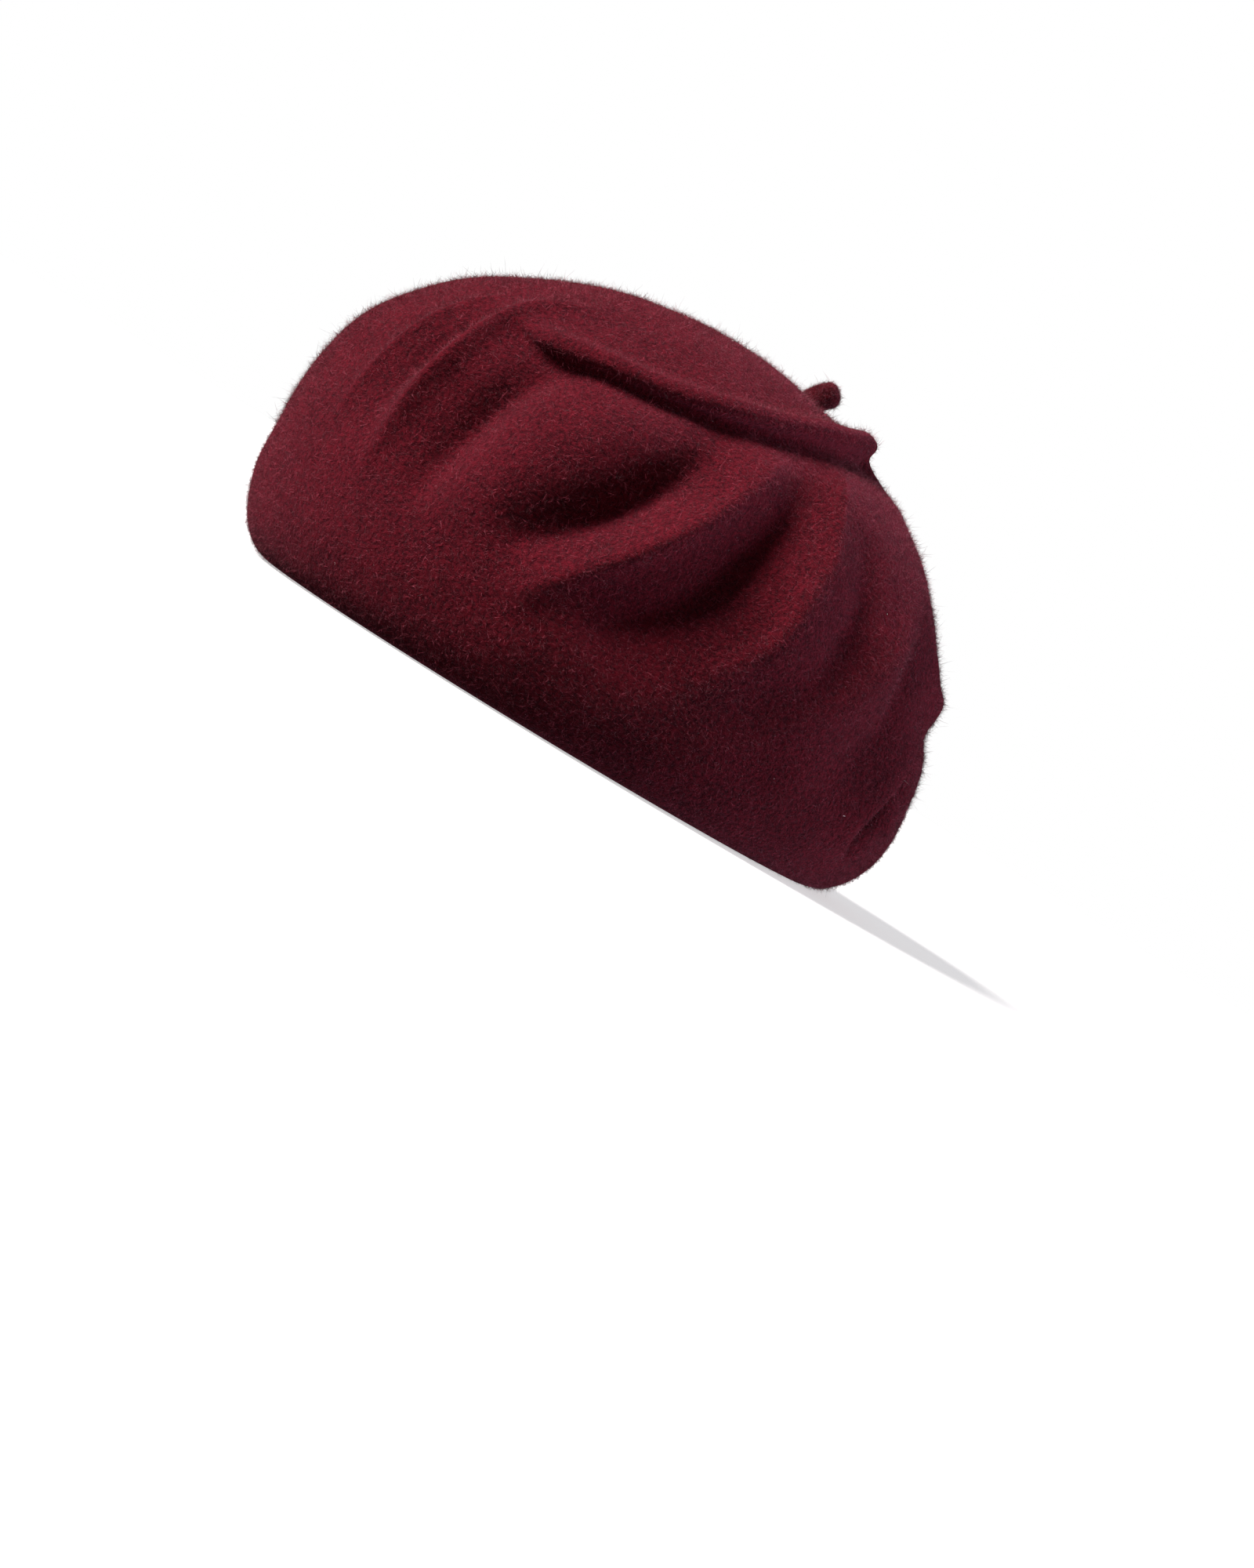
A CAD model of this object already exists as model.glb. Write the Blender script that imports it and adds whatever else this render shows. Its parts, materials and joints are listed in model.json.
"""A draped wool-felt beret on its CAD frame, laid out as a Blender add-on.

The crown is one shell of felt over an oval block. Its folds are traced on the block by a few points each, and the
rolled tuck and the pleat at the back are cross-sections carried along such a line. A nap of fine fibres stands on
the felt. Inside are the ribbon sweatband with its bow, the blank label and tab, and the stitches.
Shapes are worked out in millimetres in the frame of the CAD model and scaled to metres as they become meshes.
"""

import json
import math

import bmesh
import bpy
import numpy as np
from bpy.props import FloatProperty, FloatVectorProperty, IntProperty, PointerProperty
from mathutils import Matrix, Vector


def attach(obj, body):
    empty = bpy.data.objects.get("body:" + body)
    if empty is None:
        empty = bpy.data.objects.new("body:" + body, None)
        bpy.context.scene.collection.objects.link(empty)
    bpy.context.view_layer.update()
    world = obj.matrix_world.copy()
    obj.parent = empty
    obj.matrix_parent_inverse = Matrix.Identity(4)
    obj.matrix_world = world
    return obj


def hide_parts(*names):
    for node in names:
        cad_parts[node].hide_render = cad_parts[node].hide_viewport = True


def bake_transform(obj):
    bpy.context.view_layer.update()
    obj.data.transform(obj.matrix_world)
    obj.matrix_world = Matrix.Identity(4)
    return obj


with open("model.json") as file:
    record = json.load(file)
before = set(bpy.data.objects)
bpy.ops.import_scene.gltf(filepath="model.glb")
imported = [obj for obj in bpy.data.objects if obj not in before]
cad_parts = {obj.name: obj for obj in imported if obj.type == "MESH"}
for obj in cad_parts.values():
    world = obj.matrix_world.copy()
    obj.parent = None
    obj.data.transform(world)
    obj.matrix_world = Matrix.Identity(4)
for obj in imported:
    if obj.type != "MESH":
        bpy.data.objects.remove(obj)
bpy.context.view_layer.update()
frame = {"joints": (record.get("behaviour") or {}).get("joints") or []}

bl_info = {
    "name": "Draped felt beret",
    "version": (1, 0, 0),
    "blender": (4, 5, 0),
    "location": "3D View > Sidebar > Beret",
    "description": "Builds a wool-felt beret with its folds, nap, stalk and ribbon sweatband",
    "category": "Object",
}

MM = 0.001
EYE = (1000.0, -7.0, 42.0)  # where the sides are looked at from

# Where the stitches inside the crown are, seen from its left as (y, z)
TUCK_ROUTE = [(-66, 109), (-47, 112), (-24, 117), (0, 123), (19, 129), (34, 134), (43, 136.5)]
TUCK_STITCHES = 18
TACK_PLACES = [(-78, 86), (-34, 78), (-6, 70), (22, 84), (62, 92), (88, 72)]
TACK_LENGTH = 5.0
STALK_BEHIND = 25.0
STALK_LEAN = 50.0  # degrees back from upright
STALK_CROSS = 9.0  # length of the crossed stitches under the stalk

# Where the stitches and trims on the ribbon are
STITCH_LENGTH = 3.4
RIBBON_STITCH_LEVEL = 3.5
BOW_LEVEL = 13.0
BOW_HALF_WIDTH = 15.0
KNOT_MIDDLE = 99.69
LABEL_HALF_WIDTH = 20.0
LABEL_LEVEL = 13.5
LABEL_HALF_HEIGHT = 7.5
LABEL_GAP = 0.05
LABEL_THICKNESS = 0.35
LABEL_TACK_INSET = 2.5
TAB_HALF_WIDTH = 5.9


# ---------------------------------------------------------------- settings


def length(name, default, description):
    """A size in millimetres."""
    return FloatProperty(name=name, default=default, description=description, min=0.0, soft_max=400.0)


def plain(name, default, description):
    """A number with no unit."""
    return FloatProperty(name=name, default=default, description=description)


def colour(name, default, description):
    """A linear colour."""
    return FloatVectorProperty(
        name=name, default=default, description=description, subtype="COLOR", size=3, min=0.0, max=1.0
    )


class BlockSettings(bpy.types.PropertyGroup):
    """The smooth block that the felt is shaped on, in millimetres, as the CAD model has it."""

    opening_length: length("Opening half length", 101.0, "Head opening inside the ribbon, front to middle")
    opening_width: length("Opening half width", 80.0, "Head opening inside the ribbon, side to middle")
    rim_length: length("Rim half length", 106.5, "Outer edge of the rim's underside, front to middle")
    rim_width: length("Rim half width", 85.5, "Outer edge of the rim's underside, side to middle")
    full_length: length("Full half length", 126.6, "Widest section, front to middle")
    full_width: length("Full half width", 102.0, "Widest section, side to middle")
    belly: length("Belly height", 32.0, "Height of the widest section")
    height: length("Crown height", 145.5, "From the rim to the top")
    fullness: plain("Fullness", 2.4, "Exponent of the dome; 2 is an ellipse")
    forward: length("Lean forward", 7.5, "How far the top leans forward")
    lean_start: length("Lean starts", 10.0, "Height where the lean starts")
    lean_end: length("Lean ends", 100.0, "Height where the lean is complete")
    felt: length("Felt thickness", 2.5, "Thickness of the felt")


class MeshSettings(bpy.types.PropertyGroup):
    """How finely the felt is divided."""

    columns: IntProperty(name="Columns", default=384, description="Points round the rim", min=48)
    step: length("Step", 1.9, "Distance between rings of points on the outside")
    inner_step: length("Inner step", 3.4, "Distance between rings of points on the inside")
    near: length("Fold reach", 9.0, "Felt within this distance of a fold is divided once more")
    nearest: length("Roll reach", 12.0, "Felt within this distance of a roll is divided twice more")


class FeltSettings(bpy.types.PropertyGroup):
    """Colours of the felt, and its nap."""

    light: colour("Light wool", (0.150, 0.0062, 0.0150), "The lighter wool in the felt")
    dark: colour("Dark wool", (0.038, 0.0012, 0.0048), "The darker wool in the felt")
    inside: colour("Inside wool", (0.100, 0.007, 0.015), "The felt's inner face")
    fibre_light: colour("Light fibre", (0.360, 0.058, 0.090), "Fibres that catch the light")
    fibre_middle: colour("Middle fibre", (0.140, 0.013, 0.024), "Most of the fibres")
    fibre_dark: colour("Dark fibre", (0.060, 0.004, 0.010), "The darkest fibres")
    lint: colour("Lint", (0.700, 0.520, 0.500), "A few pale specks caught in the nap")
    fibres: IntProperty(name="Fibres", default=64000, description="Fibres of each of the three colours", min=0)
    fibre_length: length("Fibre length", 1.9, "Usual length of a fibre")
    fibre_width: length("Fibre width", 0.085, "Thickness of a fibre at its root")
    strays: IntProperty(name="Stray hairs", default=5200, description="Longer curled hairs", min=0)
    stray_length: length("Stray length", 2.8, "Usual length of a stray hair")
    specks: IntProperty(name="Lint specks", default=46, description="Number of pale specks", min=0)


class TrimSettings(bpy.types.PropertyGroup):
    """The ribbon, thread, label and tab."""

    ribbon: colour("Ribbon", (0.052, 0.006, 0.013), "Grosgrain of the sweatband and bow")
    thread: colour("Thread", (0.130, 0.012, 0.024), "Sewing thread")
    label: colour("Label", (0.560, 0.500, 0.390), "Woven label and tab")
    label_thread: colour("Label thread", (0.450, 0.390, 0.290), "Thread of the label")
    ribbon_base: length("Ribbon base", 1.0, "Height of the ribbon's lower edge")
    ribbon_height: length("Ribbon height", 25.0, "Width of the ribbon")
    ribbon_thickness: length("Ribbon thickness", 0.6, "Thickness of the ribbon")
    rib_pitch: length("Rib pitch", 1.1, "Distance between the ribs of the grosgrain")
    thread_radius: length("Thread radius", 0.34, "Half the thickness of the thread")
    stitches: IntProperty(name="Stitches", default=88, description="Stitches round the ribbon", min=4)


class StageSettings(bpy.types.PropertyGroup):
    """Camera, lights and floor."""

    distance: plain("Camera distance", 1.0, "Metres from the middle plane of the hat")
    camera_height: length("Camera height", 42.0, "Height of the camera above the rim")
    tip: FloatProperty(
        name="Tip", default=math.radians(31.3), subtype="ANGLE", description="How far back the hat is tipped"
    )
    seen_height: length("Seen height", 540.0, "Height of the picture at the hat")
    floor: colour("Floor", (0.93, 0.93, 0.93), "The floor")
    glow: plain("Floor glow", 0.55, "Light given by the floor itself, which softens the shadow on it")
    key: plain("Key light", 6.6, "Strength of the soft light from above")
    fill: plain("Fill light", 0.06, "Strength of the light on the near side")
    back: plain("Back light", 3.5, "Strength of the cooler light from low behind the wearer")
    sky: plain("Sky", 0.125, "Strength of the light from all around")


# ---------------------------------------------------------------- shader wiring


class Wire:
    """An output socket that can be written in sums, so that shader maths reads as plain expressions."""

    def __init__(self, socket):
        self.socket = socket
        self.tree = socket.id_data

    def maths(self, operation, *others):
        sockets = dict(enumerate((self, *others)))
        return node_in(self.tree, "Math", {"operation": operation}, sockets)

    def __add__(self, other):
        return self.maths("ADD", other)

    def __sub__(self, other):
        return self.maths("SUBTRACT", other)

    def __mul__(self, other):
        return self.maths("MULTIPLY", other)

    def __neg__(self):
        return self.maths("MULTIPLY", -1.0)

    def __rsub__(self, other):
        return (-self) + other

    __radd__ = __add__
    __rmul__ = __mul__

    def sine(self):
        return self.maths("SINE")

    def part(self, low, high):
        """0 at low, 1 at high, eased between."""
        sockets = {"Value": self, "From Min": low, "From Max": high}
        return node_in(self.tree, "MapRange", {"interpolation_type": "SMOOTHSTEP"}, sockets)


def node_in(tree, kind, settings, sockets, output=0):
    """Any node: its settings, then what goes into its sockets, by name or number; gives one output."""
    node = tree.nodes.new("ShaderNode" + kind)
    for setting, value in settings.items():
        setattr(node, setting, value)
    for socket, value in sockets.items():
        put(tree, node.inputs[socket], value)
    return Wire(node.outputs[output])


def put(tree, place, value):
    """Links a wire to an input, or sets the input to a number, vector or colour."""
    if isinstance(value, Wire):
        tree.links.new(value.socket, place)
    elif hasattr(value, "__len__") and place.type == "RGBA":
        place.default_value = (*value[:3], 1.0)
    else:
        place.default_value = value


class Paint:
    """A material being built, with one Principled shader."""

    def __init__(self, name, **shine):
        self.material = bpy.data.materials.new(name)
        self.material.use_nodes = True
        self.tree = self.material.node_tree
        self.shader = next(n for n in self.tree.nodes if n.type == "BSDF_PRINCIPLED")
        for socket, value in shine.items():
            put(self.tree, self.shader.inputs[socket.replace("_", " ").title().replace("Ior", "IOR")], value)

    def node(self, kind, settings=None, output=0, **values):
        """A node of this material, with the values of its sockets as keywords."""
        sockets = {name.replace("_", " "): value for name, value in values.items()}
        return node_in(self.tree, kind, settings or {}, sockets, output)

    def mix(self, share, first, second):
        """A blend of two colours; the colours are the mix node's sockets 6 and 7, and its output 2."""
        return node_in(self.tree, "Mix", {"data_type": "RGBA"}, {0: share, 6: first, 7: second}, 2)

    def scaled(self, vector, sizes):
        """A vector with each part multiplied."""
        return node_in(self.tree, "VectorMath", {"operation": "MULTIPLY"}, {0: vector, 1: sizes})

    def place(self):
        """Position in the piece's own space, in metres."""
        return self.node("TexCoord", output=3)

    def noise(self, scale, detail=2.0, rough=0.5, vector=None):
        return self.node(
            "TexNoise", Vector=vector or self.place(), Scale=scale, Detail=detail, Roughness=rough
        )

    def bump(self, height, distance, strength=1.0, normal=None):
        values = {"Height": height, "Distance": distance, "Strength": strength}
        if normal:
            values["Normal"] = normal
        return self.node("Bump", **values)

    def finish(self, base, rough=None, normal=None):
        put(self.tree, self.shader.inputs["Base Color"], base)
        if rough is not None:
            put(self.tree, self.shader.inputs["Roughness"], rough)
        if normal is not None:
            put(self.tree, self.shader.inputs["Normal"], normal)
        return self.material


# ---------------------------------------------------------------- the block


def ease(share):
    """From 0 to 1 with a level start and end."""
    share = np.clip(share, 0.0, 1.0)
    return share * share * (3 - 2 * share)


def unit(vectors):
    return vectors / np.maximum(np.linalg.norm(vectors, axis=-1, keepdims=True), 1e-9)


class Block:
    """The smooth block under the felt: oval sections stacked from the rim to the top."""

    def __init__(self, sizes):
        self.sizes = sizes
        turn = np.linspace(math.pi / 2, 0, 900)
        high = sizes.belly + (sizes.height - sizes.belly) * np.sin(turn)
        low = sizes.belly * (1 - np.cos(turn[1:]))
        self.heights = np.concatenate([high, low])
        width, long, _ = self.section(self.heights)
        radius = (width + long) / 2
        steps = np.hypot(np.diff(radius), np.diff(self.heights))
        self.down = np.concatenate([[0], np.cumsum(steps)])
        self.reach = self.down[-1]

    def section(self, z):
        """Half width, half length and middle of the oval at this height."""
        s = self.sizes
        z = np.clip(z, 0.0, s.height)
        climb = np.maximum(z - s.belly, 0) / (s.height - s.belly)
        over = np.sqrt(np.maximum(0, 1 - climb**s.fullness))
        under = np.sqrt(np.maximum(0, 1 - (1 - np.minimum(z / s.belly, 1)) ** 2))
        high = z > s.belly
        width = np.where(high, s.full_width * over, s.rim_width + (s.full_width - s.rim_width) * under)
        long = np.where(high, s.full_length * over, s.rim_length + (s.full_length - s.rim_length) * under)
        middle = -s.forward * ease((z - s.lean_start) / (s.lean_end - s.lean_start))
        return width, long, middle

    def at(self, flat):
        """Points on the block for points on a flat disc, as far from its middle as the way down from the top."""
        down = np.linalg.norm(flat, axis=1)
        z = np.interp(down, self.down, self.heights)
        width, long, middle = self.section(z)
        way = flat / np.maximum(down, 1e-9)[:, None]
        return np.stack([width * way[:, 0], middle + long * way[:, 1], z], 1)

    def normals(self, flat):
        """Outward normals at such points."""
        small = 0.2
        down = np.linalg.norm(flat, axis=1, keepdims=True)
        held = flat * np.minimum(1, (self.reach - 2 * small) / np.maximum(down, 1e-9))
        across = self.at(held + [small, 0]) - self.at(held - [small, 0])
        along = self.at(held + [0, small]) - self.at(held - [0, small])
        return unit(np.cross(across, along))

    def lay(self, points):
        """Moves points to the block along lines from its inside."""
        heart = np.array([0.0, -4.0, 40.0])
        ways = np.asarray(points, float) - heart
        low, high = np.zeros(len(ways)), np.full(len(ways), 8.0)
        for _ in range(45):
            tried = (low + high) / 2
            inside = self.holds(heart + ways * tried[:, None])
            low, high = np.where(inside, tried, low), np.where(inside, high, tried)
        return heart + ways * low[:, None]

    def outward(self, points):
        """Outward normals at points that lie on the block."""
        small = 0.25
        slopes = []
        for axis in np.eye(3):
            slopes.append(self.depth(points + axis * small) - self.depth(points - axis * small))
        return unit(np.stack(slopes, 1))

    def depth(self, points):
        """A number that grows outward and is level on the block."""
        width, long, middle = self.section(points[:, 2])
        width, long = np.maximum(width, 4), np.maximum(long, 5)
        over = width / self.sizes.full_width
        return over * (np.hypot(points[:, 0] / width, (points[:, 1] - middle) / long) - 1)

    def holds(self, points):
        """Which points are inside the block."""
        width, long, middle = self.section(points[:, 2])
        aside = points[:, 0] / np.maximum(width, 1e-6)
        behind = (points[:, 1] - middle) / np.maximum(long, 1e-6)
        return (aside**2 + behind**2 < 1) & (points[:, 2] < self.sizes.height) & (points[:, 2] > 0)

    def top(self, y):
        """The point of the block over its middle line at this y."""
        heights = np.linspace(self.sizes.belly, self.sizes.height, 20001)
        _, long, middle = self.section(heights)
        return np.array([0.0, y, heights[long > np.abs(y - middle)].max()])

    def seen(self, y, z, side=1):
        """The point of the block that is seen at (y, z) on the middle plane by an eye at one side of the hat."""
        eye = np.array([side * EYE[0], EYE[1], EYE[2]])
        way = np.array([0.0, y, z]) - eye
        at = eye + way * np.linspace(0.84, 1.0, 1200)[:, None]
        inside = self.holds(at)
        return at[inside.argmax()] if inside.any() else at[-1]


# ---------------------------------------------------------------- folds


def smooth_line(points, count):
    """Points evenly along a smooth curve through the given rows of numbers."""
    points = np.asarray(points, float)
    padded = np.vstack([2 * points[0] - points[1], points, 2 * points[-1] - points[-2]])
    rows = []
    for a, b, c, d in zip(padded, padded[1:], padded[2:], padded[3:]):
        t = np.linspace(0, 1, 24, endpoint=False)[:, None]
        bend = (2 * a - 5 * b + 4 * c - d) * t**2 + (3 * b - a - 3 * c + d) * t**3
        rows.append(0.5 * (2 * b + (c - a) * t + bend))
    rows = np.vstack([*rows, points[-1:]])
    way = np.concatenate([[0], np.cumsum(np.linalg.norm(np.diff(rows[:, :3], axis=0), axis=1))])
    even = np.linspace(0, way[-1], count)
    return np.stack([np.interp(even, way, column) for column in rows.T], 1)


class Line:
    """A line on the block. Each given point is (y, z, strength) as seen from one side, or (x, y, z, strength)."""

    def __init__(self, block, points, side=1):
        rows = []
        for point in points:
            *where, strength = point
            if len(where) == 2:
                where = block.seen(*where, side)
            rows.append([*where, strength])
        rows = smooth_line(rows, 90)
        self.points = block.lay(rows[:, :3])
        self.strength = rows[:, 3]
        self.forward = unit(np.gradient(self.points, axis=0))
        self.up = block.outward(self.points)
        self.aside = unit(np.cross(self.up, self.forward))
        self.spacing = np.linalg.norm(np.diff(self.points, axis=0), axis=1).mean()

    def nearest(self, points):
        """For each point: how far aside of the line and past its ends it is, and the strength and way aside there."""
        square = (points**2).sum(1)[:, None] - 2 * points @ self.points.T + (self.points**2).sum(1)[None]
        index = square.argmin(1)
        gap = points - self.points[index]
        along = np.einsum("ij,ij->i", gap, self.forward[index]) / self.spacing
        place = np.clip(index + along, 0, len(self.points) - 1)
        low = np.minimum(place.astype(int), len(self.points) - 2)
        share = (place - low)[:, None]
        base = self.points[low] * (1 - share) + self.points[low + 1] * share
        aside = unit(self.aside[low] * (1 - share) + self.aside[low + 1] * share)
        gap = points - base
        across = np.einsum("ij,ij->i", gap, aside)
        past = np.abs(index + along - place) * self.spacing
        strength = np.interp(place, np.arange(len(self.points)), self.strength)
        return across, past, strength, aside

    def distance(self, points):
        square = (points**2).sum(1)[:, None] - 2 * points @ self.points.T + (self.points**2).sum(1)[None]
        return np.sqrt(np.maximum(square.min(1), 0))


class Fold:
    """A ridge, or with negative strength a valley, whose strength in millimetres is given at each point."""

    fade = 9.0

    def __init__(self, block, at, wide, side=1, crisp=1.0, fine=False):
        self.line = Line(block, at, side)
        self.ahead, self.behind = wide
        self.crisp, self.fine = crisp, fine

    def shift(self, points, normals, inside=False):
        across, past, strength, _ = self.line.nearest(points)
        wide = np.where(across > 0, self.behind, self.ahead)
        share = across / wide
        round_off = self.crisp
        height = np.exp(-(np.sqrt(share**2 + round_off**2) - round_off) * (1.0 + 0.6 * round_off))
        height = height * np.exp(-((past / self.fade) ** 2)) * strength
        return normals * (height * (0.92 if inside else 1.0))[:, None]


class Roll:
    """A cross-section carried along a line: for each distance across, how far the felt is drawn aside and out."""

    fine = True

    def __init__(self, block, points, section, inner, fade):
        self.line = Line(block, points)
        self.section = smooth_line(section, 240)
        self.section = self.section[np.argsort(self.section[:, 0])]
        self.inner = np.array(inner, float)
        self.fade = fade

    def shift(self, points, normals, inside=False):
        across, past, strength, aside = self.line.nearest(points)
        share = strength * np.exp(-((past / self.fade) ** 2))
        if inside:
            height = np.interp(across, self.inner[:, 0], self.inner[:, 1])
            return normals * (height * share)[:, None]
        drawn = np.interp(across, self.section[:, 0], self.section[:, 1]) - across
        drawn = np.where((across < self.section[0, 0]) | (across > self.section[-1, 0]), 0, drawn)
        height = np.interp(across, self.section[:, 0], self.section[:, 2])
        return normals * (height * share)[:, None] + aside * (drawn * share)[:, None]


def drape(block):
    """The folds of this hat, each from its top down, and the tuck from front to back. A point is (y, z, height)
    as seen from the hat's left, or from its right in the second list, or (x, y, z, height)."""
    tuck_line = [
        (-76, 115.5, 0), (-69, 114.5, 0.5), (-59, 114.3, 1.05), (-32, 118.5, 1.12), (-4, 124.5, 1.12),
        (15, 130, 1.15),
        (29, 134.5, 1.25), (40, 137.2, 1.4), (47, 137, 1.5),
    ]
    tuck_section = [
        (-26, -26, 0), (-18, -18, -0.7), (-12, -11.6, -1.9), (-8, -7.2, -2.9), (-6, -4.6, -2.9),
        (-4.6, -3.3, -1.5), (-3.5, -3.5, 0.3), (-2.4, -3.0, 2.0), (-1, -1.4, 3.1), (1, 1.0, 3.2),
        (3, 3.1, 2.2), (5.5, 5.6, 0.9), (9, 9, 0.25), (16, 16, 0),
    ]
    tuck_inside = [(-26, 0), (-18, -1.4), (-12, -3.2), (-8, -4.2), (-5, -4.2), (-1, -2.4), (3, -0.6), (16, 0)]
    pleat_line = [
        (118, 62, 0), (117.5, 55, 0.7), (116.5, 47, 1), (115.2, 38, 1), (114, 30, 0.9), (114, 23, 0.6),
        (115, 14, 0),
    ]
    pleat_section = [
        (-30, -30, 0), (-17, -17, 0.6), (-10, -9.4, 1.8), (-6, -4.8, 3.0), (-3.4, -1.4, 3.4), (-1.6, 0.9, 2.0),
        (-0.4, 1.8, -2.4), (1.2, 1.8, -6.8), (3, 2.8, -7.6), (6, 6, -4.4), (9.5, 9.5, -0.4), (15, 15, 2.0),
        (24, 24, 1.2), (38, 38, 0),
    ]
    pleat_inside = [
        (-30, 0), (-9, 0.2), (-2, -4.2), (1.5, -7.4), (5, -7.0), (13, -0.8), (19, 1.4), (28, 0.8), (40, 0),
    ]
    left = [
        # two ridges over the front of the crown, on either side of a shallow groove
        dict(wide=(4.4, 4.0), crisp=0.75, fine=True, at=[
            (6, -40, 142, 0), (-54, 131.5, 1.0), (-66, 124.5, 2.4), (-76, 116.5, 4.0), (-83, 105, 5.8),
            (-88, 91, 6.4),
            (-93, 75, 5.4), (-95, 59, 3.0), (-96, 42, 0),
        ]),
        dict(wide=(3.8, 4.2), crisp=0.4, fine=True, at=[
            (10, -70, 131, 0), (-82, 121, 0.9), (-92, 111, 2.7), (-101, 97, 3.6), (-107, 83, 3.3),
            (-111, 67, 2.0),
            (-113, 50, 0),
        ]),
        dict(wide=(3.6, 3.8), crisp=1.0, at=[
            (-80, 116, 0), (-89, 104, -2.8), (-96, 90, -3.4), (-100, 75, -2.2), (-103, 58, 0),
        ]),
        # the deep valley below the front end of the tuck, and the broad bulge behind it
        dict(wide=(6.6, 8.0), crisp=0.9, at=[
            (-56, 107, -2.8), (-63, 101, -7.0), (-68, 92, -9.0), (-72, 80, -9.0), (-75, 66, -7.2),
            (-77, 52, -4.4),
            (-79, 37, 0),
        ]),
        dict(wide=(11.0, 11.0), crisp=1.5, at=[
            (-12, 108, 0.6), (-27, 98, 2.6), (-41, 84, 3.4), (-50, 68, 2.8), (-57, 53, 1.8), (-62, 38, 0),
        ]),
        # a valley, a ridge with a steep back, the widest valley and a sharp ridge, fanning out from the tuck
        dict(wide=(7.0, 5.8), crisp=1.0, at=[
            (5, 114, -2.0), (1, 103, -5.8), (-6, 90, -8.0), (-15, 76, -8.2), (-25, 64, -6.4),
            (-36, 53, -3.6), (-46, 42, 0),
        ]),
        dict(wide=(5.2, 4.8), crisp=0.85, fine=True, at=[
            (28, 124, 0.2), (24, 110, 3.0), (18, 95, 5.2), (11, 82, 6.2), (2, 69, 6.2), (-8, 57, 5.2),
            (-17, 47, 3.8),
            (-25, 37, 2.2), (-30, 27, 0),
        ]),
        dict(wide=(7.5, 9.5), crisp=0.9, at=[
            (38, 124, -1.2), (39, 112, -4.6), (38, 98, -7.2), (35, 84, -8.4), (29, 69, -8.2),
            (19, 55, -6.4), (7, 43, -3.6),
            (-4, 32, 0),
        ]),
        dict(wide=(4.4, 8.0), crisp=0.75, fine=True, at=[
            (58, 112, 0.6), (59, 98, 3.4), (58, 84, 4.8), (57, 70, 4.6), (52, 57, 3.2), (44, 46, 1.8),
            (35, 36, 0),
        ]),
        dict(wide=(2.8, 3.6), crisp=0.5, fine=True, at=[
            (47, 129, 0.2), (50, 121, 2.0), (54, 111, 2.6), (57, 101, 1.6), (59, 91, 0),
        ]),
        # the rounded end of the tuck
        dict(wide=(3.6, 3.2), crisp=1.0, fine=True, at=[
            (32, 135.5, 0), (40, 137.2, 0.8), (46, 137.2, 1.8), (49, 136.8, 2.2),
        ]),
        # the fuller ridges behind it
        dict(wide=(6.0, 7.0), crisp=1.2, at=[
            (64, 116, 0), (70, 106, -2.4), (76, 93, -3.6), (77, 78, -3.0), (74, 64, -1.4), (68, 52, 0),
        ]),
        dict(wide=(7.0, 6.0), crisp=0.8, at=[
            (85, 113, 0.4), (91, 100, 2.4), (94, 86, 3.4), (92, 70, 3.4), (86, 56, 2.4), (76, 44, 1.0),
            (66, 35, 0),
        ]),
        dict(wide=(6.0, 7.0), crisp=1.0, at=[
            (97, 94, -1.0), (102, 82, -3.2), (105, 68, -4.4), (103, 53, -3.8), (97, 38, -1.8), (90, 27, 0),
        ]),
        # the ridge over the upper back, which ends in a small bump
        dict(wide=(5.6, 5.2), crisp=1.4, fine=True, at=[
            (94, 103, 0), (102, 94, 0.8), (108, 86, 1.8), (18, 112, 78, 2.8), (4, 114, 75.5, 3.0),
            (-14, 112, 73, 1.2),
            (-30, 106, 70, 0),
        ]),
        dict(wide=(5.0, 5.0), crisp=1.0, at=[
            (30, 113, 64, 0), (16, 117, 65, -1.8), (2, 118, 65, -2.2), (-16, 116, 62, 0),
        ]),
        # a short crease in the lobe behind the pleat
        dict(wide=(2.4, 3.2), crisp=0.8, fine=True, at=[
            (117.5, 47, 0), (120.5, 44, -1.6), (122.5, 40, -1.6), (123, 33, 0),
        ]),
    ]
    right = [
        dict(wide=(9, 9), crisp=1.2, at=[(-52, 128, 0), (-62, 104, 1.8), (-66, 78, 2.0), (-66, 50, 0)]),
        dict(wide=(12, 12), crisp=1.4, at=[(-20, 128, 0), (-24, 100, -2.0), (-26, 74, -2.0), (-28, 46, 0)]),
        dict(wide=(9, 9), crisp=1.1, at=[(18, 128, 0), (22, 102, 2.0), (22, 76, 2.2), (18, 46, 0)]),
        dict(wide=(11, 11), crisp=1.4, at=[(52, 118, 0), (60, 94, -2.0), (62, 70, -2.0), (60, 44, 0)]),
        dict(wide=(8, 8), crisp=1.1, at=[(82, 106, 0), (92, 84, 2.0), (94, 62, 1.8), (92, 40, 0)]),
    ]
    return [
        *(Fold(block, side=1, **fold) for fold in left),
        *(Fold(block, side=-1, **fold) for fold in right),
        Roll(block, pleat_line, pleat_section, pleat_inside, fade=4.0),
        Roll(block, tuck_line, tuck_section, tuck_inside, fade=3.2),
    ]


def soft_waves(points):
    """The slight unevenness of hand-shaped felt, in millimetres."""
    x, y, z = points.T
    waves = 0.34 * np.sin(0.061 * x + 0.043 * y + 0.052 * z + 0.6)
    waves += 0.26 * np.sin(0.113 * y - 0.087 * x + 0.094 * z + 2.1)
    waves += 0.16 * np.sin(0.201 * z + 0.157 * x - 0.171 * y + 4.0)
    return waves * ease((z - 3) / 24)


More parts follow.
